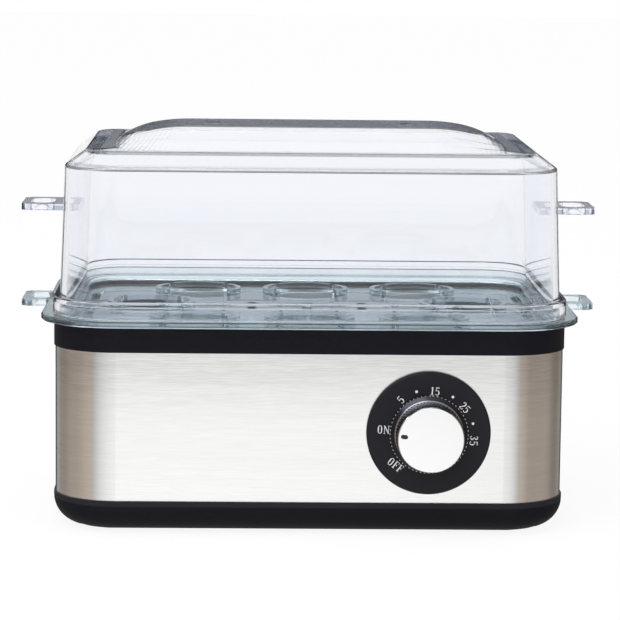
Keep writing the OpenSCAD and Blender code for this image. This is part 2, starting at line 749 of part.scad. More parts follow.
module lead_live() color("#8a4b2a") placed() wire([
    [block_x + block_pitch, live_y, term_z], [block_x + block_pitch, live_y - 5, term_z],
    [block_x + block_pitch + 1, live_y - 12, term_z],
    [-20, -10, 14], [20, -22, 12], [60, -26, 14], [74, -40, 22],
    [tab_end[0] + 1, tab_end[1], dial_z - 7.6], [tab_end[0] - 0.8, tab_end[1], dial_z - 7.6]], 2.2);

module lead_heater() color("#8a4b2a") placed() wire([
    [tab_end[0] - 0.8, tab_end[1], dial_z + 3.4], [tab_end[0] + 2, tab_end[1] + 3, dial_z + 3],
    [74, -34, 40], [50, -16, 34], [20, -4, 34], [4, 0, 38], [4, 0, blade_z]], 2.2);

module lead_fuse() color("#e0dccf") placed() wire([
    [-4, 0, blade_z], [-4, 0, 38], [-8, -14, 36], [-6, -26, 40],
    [fuse_x + fuse_l / 2 + 9, fuse_y, shield_z - 4],
    [fuse_x + fuse_l / 2 + 5.8, fuse_y, shield_z - fuse_d / 2 - 0.1]], 2);

module lead_neutral() color("#2f5fa8") placed() wire([
    [block_x, live_y, term_z], [block_x, live_y - 8, term_z], [-52, 12, 16], [pin_x, 10, 24],
    [pin_x, leg_pitch / 2, 32], [pin_x, leg_pitch / 2, pin_end_z]], 2.2);

module lead_earth() color("#7da83a") placed() wire([
    [block_x - block_pitch, live_y, term_z], [block_x - block_pitch, live_y - 8, term_z],
    [-74, 10, 16], [-79, 8, 32], [-stud_x - 2, 6, strap_z - 6], [-stud_x, 2, strap_z - 1.2]], 2.2);

// ---- Feet and screws ----

module foot(sx, sy) color(rubber) placed() translate([sx * foot_x, sy * foot_y, 0])
    linear_extrude(shell_z + foot_seat) rotate(90) oblong(foot_w, foot_l);

module foot_front_left() foot(-1, -1);
module foot_front_right() foot(1, -1);
module foot_rear_left() foot(-1, 1);
module foot_rear_right() foot(1, 1);

module base_screws() color(bright_steel) placed() at_posts()
    translate([0, 0, screw_z - screw_head_t]) difference() {
    union() {
        cylinder(d = screw_head_d, h = screw_head_t);
        cylinder(d = screw_d, h = screw_head_t + screw_l);
    }
    for (turn = [0, 90]) rotate(turn) translate([-2, -0.4, -1]) cube([4, 0.8, 2]);
}

// ---- Tray ----

egg_places = [for (x = [-egg_pitch, 0, egg_pitch], y = [-row_y, row_y]) [x, y]];
egg_seats = concat(egg_places, [[-side_x, 0], [side_x, 0]]);

// Flat grip tab with a finger hole, on the side that s gives
module grip_tab(s, from_x, z1, t) {
    w = tab_w / 2;
    c = tab_corner;
    translate([0, 0, z1 - t]) linear_extrude(t)
        polygon([[s * from_x, -w], [s * (tab_x - c), -w], [s * tab_x, -w + c],
            [s * tab_x, w - c], [s * (tab_x - c), w], [s * from_x, w]]);
}

module finger_hole(s, z0, z1)
    translate([s * finger_x, 0, z0]) linear_extrude(z1 - z0) oblong(finger_w, finger_l);

// Clear tray: flange on the collar, lid rib, recessed deck with ringed egg holes and steam slots
module egg_tray() color(aqua_tint) placed() difference() {
    union() {
        swept() polygon([[0, deck_z - deck_t], [recess_r - 1, deck_z - deck_t],
            [recess_r, deck_z - deck_t + 1], [recess_r, seat_z], [flange_r - 0.5, seat_z],
            [flange_r, seat_z + 0.5], [flange_r, flange_z - 0.5], [flange_r - 0.5, flange_z],
            [rib_r, flange_z], [rib_r, flange_z + rib_h - 0.4],
            [rib_r - 0.4, flange_z + rib_h], [rib_r - rib_t, flange_z + rib_h], [rib_r - rib_t, flange_z],
            [deck_r, flange_z], [deck_r, deck_z], [0, deck_z]]);
        middle(deck_z - deck_t, deck_z);
        for (s = [-1, 1]) grip_tab(s, corner_x + flange_r - 4, flange_z, flange_t);
        for (p = egg_seats) translate([p[0], p[1], deck_z - 0.5])
            cylinder(d = egg_hole_d + 2 * ring_t, h = ring_h + 0.5);
    }
    for (p = egg_seats) translate([p[0], p[1], 0]) {
        translate([0, 0, deck_z - deck_t - 1]) cylinder(d = egg_hole_d, h = deck_t + ring_h + 2);
        for (turn = [45:90:315]) rotate(turn)
            translate([egg_hole_d / 2 - 1, -notch_w / 2, deck_z - deck_t - 1])
                cube([notch_l, notch_w, deck_t + ring_h + 2]);
    }
    for (sx = [-1, 1], sy = [-1, 1]) translate([sx * slot_x, sy * slot_y, deck_z - deck_t - 1])
        linear_extrude(deck_t + 2) oblong(slot_w, slot_l);
    for (i = [-1:1]) translate([i * mid_slot_pitch, 0, deck_z - deck_t - 1])
        linear_extrude(deck_t + 2) oblong(mid_slot_w, mid_slot_l);
    for (s = [-1, 1]) finger_hole(s, seat_z - 1, flange_z + 1);
}

// ---- Lid ----

// How far x is along the curved end of the bridge: 0 where it starts, 1 at the plateau
function along_end(x, start) = max(abs(x) - start, 0) / (bridge_l / 2 - start);

// Crest of the bridge at x as [half width, height]: level, then an elliptic curve down, pointed in plan
function crest_edge(x) = let (
        k = 0.9, // the share of the ellipse's quarter that is used
        u = k * along_end(x, bridge_flat_l / 2 + 2),
        v = along_end(x, 0.41 * bridge_l))
    [max(bridge_crest_w / 2 * (1 - v * v), 1),
        crest_z - bridge_h * (1 - sqrt(1 - u * u)) / (1 - sqrt(1 - k * k))];

// Crease between the crest's chamfer and the sloping face at x: an arc down that spreads to the end
function face_edge(x) = let (u = along_end(x, bridge_flat_l / 2)) [bridge_crest_w / 2 + 3.7 * u,
    crest_z - bridge_arc_r + sqrt(bridge_arc_r * bridge_arc_r - pow(u * bridge_rise_l, 2))];

// Half of the bridge's outline at x, from its foot up to its crest
function bridge_side(x) = let (e = face_edge(x), foot = [bridge_foot_y, bridge_foot_z])
    concat([[bridge_foot_y, bridge_base_z]], [for (k = [0, 0.33, 0.66]) foot + (e - foot) * k],
        [e, [crest_edge(x)[0], max(crest_edge(x)[1], e[1])]]);

// Raised bridge: its front and rear faces are ruled from the crest down to the edges of the plateau
module bridge() {
    ends = [for (i = [0:bridge_steps]) bridge_flat_l / 2 + (bridge_rise_l + bridge_sink) * i / bridge_steps];
    across = concat([for (i = [bridge_steps:-1:0]) -ends[i]], ends);
    half = len(bridge_side(0));
    row = 2 * half;
    polyhedron(
        [for (x = across) let (side = bridge_side(x)) each concat(
            [for (p = side) [x, -p[0], p[1]]], [for (k = [half - 1:-1:0]) [x, side[k][0], side[k][1]]])],
        concat([[for (k = [row - 1:-1:0]) k]], [[for (k = [0:row - 1]) (len(across) - 1) * row + k]],
            [for (i = [0:len(across) - 2], k = [0:row - 1])
                let (a = i * row + k, b = i * row + (k + 1) % row)
                each [[a, b, b + row], [a, b + row, a + row]]]));
}

// Clear lid: skirt, drafted wall, sloping shoulder, bridge with two vents and two grip tabs
module lid() color(clear_tint) placed() difference() {
    union() {
        swept() polygon(rounded([[skirt_in_r, flange_z], [skirt_r, flange_z], [skirt_r, flange_z + skirt_h],
            [wall_r, flange_z + skirt_h], [shoulder_r, shoulder_z], [top_r, top_z - top_fall],
            [0, top_z], [0, top_z - lid_t], [top_r - lid_t * tan(shoulder_a / 2), top_z - top_fall - lid_t],
            [shoulder_r - lid_t, shoulder_z - lid_t * tan(45 - shoulder_a / 2)],
            [wall_r - lid_t, flange_z + skirt_h - lid_t], [skirt_in_r, flange_z + skirt_h - lid_t]],
            [0, 0.4, 0.8, 0, 1.2, top_edge_r, 0, 0, 0, 0, 0, 0]));
        middle(top_z - lid_t, top_z);
        bridge();
        for (s = [-1, 1]) grip_tab(s, corner_x + shoulder_r - lid_t / 2, flange_z + tab_z + tab_t, tab_t);
    }
    translate([0, 0, -lid_t]) bridge();
    for (s = [-1, 1]) {
        finger_hole(s, flange_z + tab_z - 1, flange_z + tab_z + tab_t + 1);
        translate([s * vent_pitch / 2, 0, top_z]) cylinder(d = vent_d, h = bridge_h + 1);
    }
}

base_shell();
steel_sleeve();
top_collar();
boil_pan();
pan_seal();
pan_straps();
strap_nuts();
heat_spreader();
heating_element();
element_clips();
terminal_beads();
heat_shield();
thermostat();
thermal_fuse();
fuse_clip();
timer_bracket();
timer_case();
timer_bell();
timer_terminals();
timer_screws();
dial_plate();
terminal_block();
terminal_screws();
cord_gland();
gland_nut();
foot_front_left();
foot_front_right();
foot_rear_left();
foot_rear_right();
base_screws();
lead_live();
lead_heater();
lead_fuse();
lead_neutral();
lead_earth();
timer_shaft();
knob();
knob_pointer();
egg_tray();
lid();
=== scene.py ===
"""Egg cooker with a brushed steel base, clear tray and clear lid: studio, camera and finishes."""

import math

import bmesh
import bpy
from bpy.props import FloatProperty, FloatVectorProperty, PointerProperty
from mathutils import Matrix, Vector


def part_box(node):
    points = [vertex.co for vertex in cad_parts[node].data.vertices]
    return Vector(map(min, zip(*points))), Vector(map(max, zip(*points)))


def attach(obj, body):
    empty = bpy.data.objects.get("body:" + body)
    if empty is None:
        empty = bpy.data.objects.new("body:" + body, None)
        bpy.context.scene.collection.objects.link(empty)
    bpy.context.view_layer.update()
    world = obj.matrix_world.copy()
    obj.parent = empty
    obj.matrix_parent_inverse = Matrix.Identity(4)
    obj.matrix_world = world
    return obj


bl_info = {
    "name": "Egg cooker",
    "version": (1, 0, 0),
    "blender": (4, 5, 0),
    "location": "3D View > Sidebar > Egg cooker",
    "description": "Builds the studio, the camera and the finishes of an egg cooker",
    "category": "Object",
}

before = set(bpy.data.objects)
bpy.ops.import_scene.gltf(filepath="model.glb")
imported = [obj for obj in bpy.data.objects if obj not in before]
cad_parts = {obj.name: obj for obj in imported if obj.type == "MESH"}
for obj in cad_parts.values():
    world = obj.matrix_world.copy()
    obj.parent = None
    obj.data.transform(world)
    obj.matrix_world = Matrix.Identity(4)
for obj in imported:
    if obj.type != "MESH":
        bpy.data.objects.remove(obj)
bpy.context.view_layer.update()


# ---- Sizes and colours that a user would change ----


def colour(name, description, default):
    return FloatVectorProperty(
        name=name, description=description, default=default, subtype="COLOR", min=0.0, max=1.0
    )


def amount(name, description, default, low=0.0, high=1.0):
    return FloatProperty(name=name, description=description, default=default, min=low, max=high)


def length(name, description, default):
    return FloatProperty(
        name=name, description=description, default=default, unit="LENGTH", precision=5
    )


def turn(name, description, degrees):
    return FloatProperty(
        name=name, description=description, default=math.radians(degrees), subtype="ANGLE"
    )


class EggCookerCamera(bpy.types.PropertyGroup):
    """Where the camera stands and where it looks"""

    place: FloatVectorProperty(
        name="Place",
        description="Where the camera stands",
        subtype="TRANSLATION",
        unit="LENGTH",
        default=(-0.02557, -1.12338, 0.23002),
    )
    lens: FloatProperty(
        name="Focal length", description="Long lens", default=166.02, min=10.0, unit="CAMERA"
    )
    sensor: FloatProperty(
        name="Sensor", description="Width of the sensor", default=36.0, min=1.0, unit="CAMERA"
    )
    yaw: turn("Yaw", "Turn to the right of straight ahead", 1.355)
    pitch: turn("Pitch", "Tilt below the horizon", 7.746)
    roll: turn("Roll", "Turn about the line of sight", 0.625)


class EggCookerStudio(bpy.types.PropertyGroup):
    """Floor, room and light"""

    floor_colour: colour("Floor", "Colour of the floor", (0.9, 0.9, 0.9))
    room_colour: colour("Room", "Light of the room on matt surfaces", (0.8, 0.8, 0.8))
    side_near: colour("Sides", "Sides of the room, in shiny surfaces", (0.46, 0.39, 0.325))
    side_far: colour("Far sides", "Room right beside, in shiny surfaces", (0.33, 0.285, 0.245))
    horizon: colour("Horizon", "Dark band behind, in shiny surfaces", (0.018, 0.022, 0.042))
    haze: colour("Haze", "The same band, seen through clear plastic", (0.58, 0.60, 0.66))
    low_dark: colour("Low dark", "Room low behind, in shiny surfaces", (0.05, 0.05, 0.05))
    rim_dark: colour("Rim dark", "Dark edge that outlines clear plastic", (0.02, 0.02, 0.025))
    floor_size: length("Floor size", "Side of the square floor", 12.0)
    key_power: FloatProperty(
        name="Key light", description="Power of the soft light", default=14.0, min=0.0, unit="POWER"
    )
    key_size: length("Key size", "Side of the large soft light", 1.4)
    backdrop: amount("Backdrop", "Strength of the floor's own white", 1.02, 0.0, 2.0)


class EggCookerFinish(bpy.types.PropertyGroup):
    """Colours of the pieces that show"""

    black: colour("Black moulding", "Base and collar", (0.0097, 0.0095, 0.0135))
    dial: colour("Dial", "Plate behind the timer knob", (0.015, 0.0145, 0.0195))
    # Painted sheen: a lighter band along the base's upper edge, standing in for the white floor
    # reflected there
    painted_lip_sheen: colour("Lip", "Upper edge of the base moulding", (0.022, 0.022, 0.028))
    steel: colour("Steel", "Brushed sleeve", (0.99, 0.987, 0.98))
    pan: colour("Pan", "Boiling pan", (0.66, 0.66, 0.66))
    chrome: colour("Chrome", "Face of the timer knob", (0.98, 0.98, 0.98))
    knob_side: colour("Knob side", "Dark plating round the timer knob", (0.045, 0.047, 0.06))
    print_white: colour("Print", "Marks on the dial", (0.86, 0.87, 0.88))
    tray_clear: colour("Tray", "Clear plastic of the egg tray", (0.885, 0.93, 0.962))
    tray_tint: colour("Tray tint", "What thick tray plastic lets through", (0.45, 0.78, 0.84))
    lid_clear: colour("Lid", "Clear plastic of the lid", (0.962, 0.97, 0.992))
    lid_tint: colour("Lid tint", "What thick lid plastic lets through", (0.70, 0.76, 0.93))


class EggCookerDial(bpy.types.PropertyGroup):
    """Sizes of the marks on the dial"""

    letter_height: length("Letter height", "Height of the letters and numbers on the dial", 0.0031)
    letter_stretch: amount("Letter stretch", "Width of the letters, times as drawn", 1.18, 0.5, 2.0)
    letter_weight: amount("Letter weight", "Width of the strokes, times as drawn", 0.78, 0.2, 2.0)
    letter_gap: amount("Letter gap", "Gap between two letters, as a share of their height", 0.08)
    dot_size: length("Dot size", "Width of the dots between the numbers", 0.0010)
    print_height: length("Print height", "How far the print stands proud of the dial", 0.00003)


def finish():
    """The colours that a user may have changed."""
    return bpy.context.scene.egg_cooker_finish


WHITE = (1.0, 1.0, 1.0)


def grey(level):
    return (level, level, level)


# ---- Shader maths ----


class Link:
    """A shader socket that takes part in Python expressions: each operator adds its Math node."""

    def __init__(self, tree, socket=None):
        self.tree, self.socket = tree, socket

    def give(self, socket, value):
        """Gives an input a link, a colour or a plain value."""
        if isinstance(value, Link):
            self.tree.links.new(value.socket, socket)
        elif socket.type == "RGBA":
            socket.default_value = (*value, 1.0)
        else:
            socket.default_value = value

    def node(self, kind, settings=None, inputs=None, output=0):
        """Adds a node, sets its settings first, then gives each input a value or a link."""
        made = self.tree.nodes.new(kind)
        for key, value in (settings or {}).items():
            if key == "stops":
                ramp = made.color_ramp
                while len(ramp.elements) < len(value):
                    ramp.elements.new(1.0)
                for element, (position, shade) in zip(ramp.elements, value):
                    element.position = position
                    element.color = (*shade, 1.0)
            else:
                setattr(made, key, value)
        for key, value in (inputs or {}).items():
            self.give(made.inputs[key], value)
        return Link(self.tree, made.outputs[output] if made.outputs else None)

    def maths(self, operation, *values):
        return self.node("ShaderNodeMath", {"operation": operation}, dict(enumerate(values)))

    def __add__(self, other):
        return self.maths("ADD", self, other)

    def __radd__(self, other):
        return self.maths("ADD", other, self)

    def __sub__(self, other):
        return self.maths("SUBTRACT", self, other)

    def __rsub__(self, other):
        return self.maths("SUBTRACT", other, self)

    def __mul__(self, other):
        return self.maths("MULTIPLY", self, other)

    def __rmul__(self, other):
        return self.maths("MULTIPLY", other, self)

    def __abs__(self):
        return self.maths("ABSOLUTE", self)

    def at_least(self, low):
        return self.maths("MAXIMUM", self, low)

    def root(self):
        return self.maths("SQRT", self)

    def clamped(self):
        return self.node("ShaderNodeClamp", None, {"Value": self})

    def between(self, low, high):
        """0 below low, 1 above high, and smooth between."""
        return self.node(
            "ShaderNodeMapRange",
            {"interpolation_type": "SMOOTHSTEP"},
            {"Value": self, "From Min": low, "From Max": high, "To Min": 0.0, "To Max": 1.0},
        )

    def within(self, starts, full, fades, gone):
        """0 up to starts, 1 from full to fades, and 0 again past gone."""
        return self.between(starts, full) * (1.0 - self.between(fades, gone))

    def blend(self, low, high):
        """The colour low where this link is 0, and high where it is 1."""
        return self.node(
            "ShaderNodeMix", {"data_type": "RGBA"}, {"Factor": self, 6: low, 7: high}, output=2
        )


def empty_tree(owner):
    """The cleared node tree of a material or a world, as a link to start from."""
    owner.use_nodes = True
    owner.node_tree.nodes.clear()
    return Link(owner.node_tree)


class Surface:
    """One material: its shader, what it shows, and the texture coordinates of the object."""

    def __init__(self, name, **settings):
        self.material = bpy.data.materials.new(name)
        self.start = empty_tree(self.material)
        self.shader = self.start.node("ShaderNodeBsdfPrincipled")
        self.ends = {"Surface": self.shader}
        self.place = self.start.node("ShaderNodeTexCoord", output=3)
        self.feed(**settings)

    def feed(self, **sockets):
        """Gives the shader's sockets values or links, named with underscores for spaces."""
        for key, value in sockets.items():
            self.start.give(self.shader.socket.node.inputs[key.replace("_", " ")], value)

    def along(self, axis):
        """The object's own coordinate along X, Y or Z (0, 1 or 2)."""
        return self.start.node("ShaderNodeSeparateXYZ", None, {0: self.place}, output=axis)

    def noise(self, scale, detail=3.0, roughness=0.5, stretch=(1.0, 1.0, 1.0)):
        """Noise on the object's own coordinates. Stretch squeezes it along each axis."""
        place = self.start.node("ShaderNodeMapping", None, {"Vector": self.place, "Scale": stretch})
        return self.start.node(
            "ShaderNodeTexNoise",
            None,
            {"Vector": place, "Scale": scale, "Detail": detail, "Roughness": roughness},
        )

    def bump(self, height, strength, distance):
        """Fine relief that follows height, as deep as distance."""
        relief = {"Height": height, "Strength": strength, "Distance": distance}
        self.feed(Normal=self.start.node("ShaderNodeBump", None, relief))

    def absorb(self, tint, density):
        """Colour that deepens with the thickness that light passes."""
        self.ends["Volume"] = self.start.node(
            "ShaderNodeVolumeAbsorption", None, {"Color": tint, "Density": density}
        )

    def mix(self, share, other):
        """Shows a share of another shader in place of what the surface shows so far."""
        shaders = {0: share, 1: self.ends["Surface"], 2: other}
        self.ends["Surface"] = self.start.node("ShaderNodeMixShader", None, shaders)

    def thin(self, share, tint):
        """Lets a share of the light pass unbent, as thin clear plastic does."""
        self.mix(share, self.start.node("ShaderNodeBsdfTransparent", None, {"Color": tint}))

    def joined(self):
        """Joins what the surface shows to the output and gives the material."""
        self.start.node("ShaderNodeOutputMaterial", None, self.ends)
        return self.material

    def dress(self, *nodes):
        """Gives CAD nodes the material."""
        material = self.joined()
        for name in nodes:
            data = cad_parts[name].data
            data.materials.clear()
            data.materials.append(material)


def plain(name, shade, rough, spread, scale, metallic=0.0):
    """One colour all over. Noise of this scale adds up to spread to the roughness."""
    surface = Surface(name, Base_Color=shade, Metallic=metallic)
    surface.feed(Roughness=rough + surface.noise(scale) * spread)
    return surface


def light_path(start):
    """Light Path's camera, glossy and transmission rays."""
    path = start.node("ShaderNodeLightPath").socket.node
    names = ("Is Camera Ray", "Is Glossy Ray", "Is Transmission Ray")
    return [Link(start.tree, path.outputs[name]) for name in names]


def mesh_from(name, shape):
    """The mesh of a bmesh, which is then freed."""
    mesh = bpy.data.meshes.new(name)
    shape.to_mesh(mesh)
    shape.free()
    return mesh


def link_object(name, data):
    """A new object in the scene."""
    made = bpy.data.objects.new(name, data)
    bpy.context.scene.collection.objects.link(made)
    return made


# ---- Camera and studio ----


class EGGCOOKER_OT_camera(bpy.types.Operator):
    """Stands the camera in front, a little above, with a long lens"""

    bl_idname = "eggcooker.camera"
    bl_label = "Camera"

    nearest, farthest = 0.05, 50.0

    def execute(self, context):
        values = context.scene.egg_cooker_camera
        data = bpy.data.cameras.new("camera")
        data.lens, data.sensor_width = values.lens, values.sensor
        data.clip_start, data.clip_end = self.nearest, self.farthest
        camera = link_object("camera", data)
        context.scene.camera = camera
        forward = Matrix.Rotation(-values.yaw, 3, "Z") @ Vector(
            (0.0, math.cos(values.pitch), -math.sin(values.pitch))
        )
        level = Vector((math.cos(values.yaw), -math.sin(values.yaw), 0.0))
        upright = level.cross(forward)
        right = math.cos(values.roll) * level + math.sin(values.roll) * upright
        up = math.cos(values.roll) * upright - math.sin(values.roll) * level
        turned = Matrix((right, up, -forward)).transposed().to_4x4()
        camera.matrix_world = Matrix.Translation(values.place) @ turned
        return {"FINISHED"}


class EGGCOOKER_OT_studio(bpy.types.Operator):
    """Lays the pale floor, the large soft light and the white room"""

    bl_idname = "eggcooker.studio"
    bl_label = "Studio"

    key_place = (-0.7, -1.0, 1.5)
    key_aim = (0.0, 0.0, 0.07)

    # Floor: share of its own white, and the distances in front over which it darkens in metal
    own_white = 0.88
    front_darkens = (0.20, 0.75)
    front_shade = 0.80

    # Room in shiny surfaces: from straight ahead (0) to straight aside (1), how bright it is.
    # After the last of these come the colours of the sides. The right side is met sooner.
    front_light = (
        (0.0, 1.0), (0.08, 1.0), (0.13, 0.9), (0.2, 0.87), (0.41, 0.76), (0.55, 0.64), (0.68, 0.45)
    )
    side_starts, side_ends, far_side = 0.71, 0.83, 0.99
    right_sooner = 1.28
    # Its dark parts, as how far back and how high they are met on a ball of radius 1
    low_dark_back, low_dark_top, low_dark_share = (0.0, 0.5), (-0.10, -0.05), 0.45
    horizon_back, horizon_heights = (0.15, 0.45), (-0.03, 0.0, 0.13, 0.20)
    rim_back, rim_top = (0.80, 0.92), (-0.13, -0.11)

    def execute(self, context):
        values = context.scene.egg_cooker_studio
        self.floor(values)
        self.room(context.scene, values)
        self.key_light(values)
        context.scene.view_settings.view_transform = "Standard"
        return {"FINISHED"}

    def floor(self, values):
        """The floor shows its own white and its shadow. Metal looks past it at the room."""
        shape = bmesh.new()
        bmesh.ops.create_grid(shape, x_segments=1, y_segments=1, size=values.floor_size / 2)
        floor = link_object("floor", mesh_from("floor", shape))
        surface = Surface(
            "floor", Base_Color=values.floor_colour, Roughness=0.9, Specular_IOR_Level=0.0
        )
        start = surface.start
        camera, glossy, through = light_path(start)
        glow = {"Color": WHITE, "Strength": values.backdrop}
        seen = (camera + through).clamped() * self.own_white
        surface.mix(seen, start.node("ShaderNodeEmission", None, glow))
        ahead = (0.0 - surface.along(1)).between(*self.front_darkens)
        veil = {"Color": ahead.blend(WHITE, grey(self.front_shade))}
        surface.mix(glossy, start.node("ShaderNodeBsdfTransparent", None, veil))
        floor.data.materials.append(surface.joined())

    def room(self, scene, values):
        """White all round. Shiny surfaces also meet the darker sides and horizon of the room."""
        scene.world = bpy.data.worlds.new("room")
        start = empty_tree(scene.world)
        camera, glossy, through = light_path(start)
        way = start.node("ShaderNodeTexCoord")
        x, y, z = (start.node("ShaderNodeSeparateXYZ", None, {0: way}, axis) for axis in range(3))
        stops = [(place, grey(level)) for place, level in self.front_light]
        stops.append((self.side_starts, values.side_near))
        stops.append((self.side_ends, values.side_near))
        stops.append((self.far_side, values.side_far))
        aside = (0.0 - x).at_least(x * self.right_sooner)
        front = start.node("ShaderNodeValToRGB", {"stops": stops}, {0: aside})
        low_back = y.between(*self.low_dark_back) * (1.0 - z.between(*self.low_dark_top))
        shiny = (low_back * self.low_dark_share).blend(front, values.low_dark)
        shiny = through.blend(shiny, WHITE)
        behind = y.between(*self.horizon_back) * z.within(*self.horizon_heights)
        shiny = behind.blend(shiny, through.blend(values.horizon, values.haze))
        rim = y.between(*self.rim_back) * (1.0 - z.between(*self.rim_top)) * (1.0 - through)
        shiny = rim.blend(shiny, values.rim_dark)
        matt = (camera + through).clamped().blend(values.room_colour, WHITE)
        back = start.node("ShaderNodeBackground", None, {"Color": glossy.blend(matt, shiny)})
        start.node("ShaderNodeOutputWorld", None, {"Surface": back})

    def key_light(self, values):
        """The large soft light, high in front on the left."""
        data = bpy.data.lights.new("key_light", "AREA")
        data.energy, data.size = values.key_power, values.key_size
        lamp = link_object("key_light", data)
        lamp.location = self.key_place
        away = Vector(self.key_place) - Vector(self.key_aim)
        lamp.rotation_euler = away.to_track_quat("Z", "Y").to_euler()


# ---- Finishes ----


class EGGCOOKER_OT_mouldings(bpy.types.Operator):
    """Black mouldings of the base, the collar and the feet"""

    bl_idname = "eggcooker.mouldings"
    bl_label = "Black mouldings"

    # Heights of the painted sheen: a lighter band painted along the base's upper edge, in place of
    # the white floor that this upright strip reflects
    painted_sheen_heights = (0.0104, 0.0112, 0.0130, 0.0140)

    def execute(self, context):
        black = Surface("black_moulding", Roughness=0.45, Specular_IOR_Level=0.3, IOR=1.2)
        # Painted sheen: the lighter colour goes on this band, where the real moulding only reflects
        # the floor
        painted_lip_sheen = black.along(2).within(*self.painted_sheen_heights)
        black.feed(Base_Color=painted_lip_sheen.blend(finish().black, finish().painted_lip_sheen))
        black.bump(black.noise(900.0, detail=2.0), strength=0.25, distance=0.0002)
        black.dress("base_shell", "top_collar")
        rubber = Surface("foot_rubber", Base_Color=(0.014, 0.014, 0.015), Roughness=0.75)
        rubber.bump(rubber.noise(1500.0, detail=2.0), strength=0.3, distance=0.0002)
        feet = ("foot_front_left", "foot_front_right", "foot_rear_left", "foot_rear_right")
        rubber.dress(*feet, "cord_gland")
        return {"FINISHED"}


class EGGCOOKER_OT_sleeve(bpy.types.Operator):
    """Steel sleeve, brushed along its width"""

    bl_idname = "eggcooker.sleeve"
    bl_label = "Steel sleeve"

    # Brushed lines are noise that is squeezed in height
    fine_lines = (1.0, 1.0, 22.0)
    broad_lines = (1.0, 1.0, 24.0)
    # Painted shade: heights between which the steel turns darker towards the top, standing in for
    # the shade under the collar that the real steel reflects, and its tints below and above them
    darkens = (0.040, 0.070)
    low_tints = (0.94, 1.01)
    painted_shade_tints = (0.72, 0.88)

    def execute(self, context):
        steel = Surface("brushed_steel", Metallic=1.0, Anisotropic=0.8, Anisotropic_Rotation=0.25)
        fine = steel.noise(90.0, detail=4.0, roughness=0.7, stretch=self.fine_lines)
        broad = steel.noise(12.0, detail=3.0, roughness=0.6, stretch=self.broad_lines)
        lines = (fine * 0.65 + broad * 0.35).between(0.32, 0.68)
        low = lines.blend(*(Vector(finish().steel) * tint for tint in self.low_tints))
        high = lines.blend(*(Vector(finish().steel) * tint for tint in self.painted_shade_tints))
        # Base Color darkens towards the top here: painted shade, not a colour of the steel
        steel.feed(
            Base_Color=steel.along(2).between(*self.darkens).blend(low, high),
            Roughness=0.17 + fine * 0.1,
        )
        steel.bump(fine, strength=0.06, distance=0.0001)
        steel.dress("steel_sleeve")
        return {"FINISHED"}


class EGGCOOKER_OT_pan(bpy.types.Operator):
    """Stainless boiling pan and its seal"""

    bl_idname = "eggcooker.pan"
    bl_label = "Boiling pan"

    grain_along_x = (1.0, 30.0, 30.0)
    tints = (0.85, 1.05)

    def execute(self, context):
        pan = Surface("pan_steel", Metallic=1.0)
        grain = pan.noise(40.0, detail=4.0, roughness=0.6, stretch=self.grain_along_x)
        tints = (Vector(finish().pan) * tint for tint in self.tints)
        pan.feed(
            Base_Color=grain.between(0.3, 0.7).blend(*tints),
            Roughness=0.26 + grain * 0.12,
        )
        pan.bump(grain, strength=0.1, distance=0.0002)
        pan.dress("boil_pan")
        seal = Surface("silicone", Base_Color=(0.42, 0.1, 0.07), Roughness=0.55)
        seal.bump(seal.noise(600.0), strength=0.2, distance=0.0002)
        seal.dress("pan_seal")
        return {"FINISHED"}


# Letters of the dial: the width of each, then its strokes. A stroke is True when it runs smoothly,
# then its points as x, y and stroke width. All are in hundredths of the letter height.
LETTER_UNITS = 100.0
LETTERS = {
    "O": (52, [(True, (26, 96, 9), (9, 50, 17), (26, 4, 9), (43, 50, 17), (26, 96, 9))]),
    "N": (68, [
        (False, (13, 4, 8), (13, 96, 8)),
        (False, (13, 96, 15), (55, 4, 15)),
        (False, (55, 4, 8), (55, 96, 8)),
        (False, (2, 97, 6), (18, 97, 6)),
        (False, (44, 97, 6), (66, 97, 6)),
        (False, (2, 3, 6), (24, 3, 6)),
    ]),
    "F": (50, [
        (False, (16, 3, 17), (16, 97, 17)),
        (False, (2, 97, 7), (47, 97, 7)),
        (False, (47, 98, 6), (47, 76, 6)),
        (False, (16, 52, 6), (37, 52, 6)),
        (False, (37, 64, 6), (37, 40, 6)),
        (False, (3, 3, 6), (31, 3, 6)),
    ]),
    "1": (42, [
        (False, (22, 3, 17), (22, 98, 17)),
        (False, (6, 88, 7), (22, 97, 7)),
        (False, (5, 3, 7), (40, 3, 7)),
    ]),
    "2": (48, [
        (True, (8, 76, 13), (24, 96, 8), (39, 72, 17), (25, 36, 11), (7, 8, 8)),
        (False, (5, 7, 12), (44, 7, 12)),
        (False, (44, 8, 6), (44, 26, 6)),
    ]),
    "3": (48, [
        (True, (8, 82, 13), (23, 96, 8), (37, 76, 16), (20, 53, 8)),
        (True, (20, 53, 8), (40, 28, 17), (23, 4, 9), (7, 18, 13)),
    ]),
    "5": (48, [
        (False, (9, 94, 12), (41, 94, 12)),
        (False, (9, 97, 6), (8, 50, 6)),
        (True, (8, 52, 7), (24, 61, 10), (40, 33, 17), (24, 4, 9), (7, 16, 13)),
    ]),
}


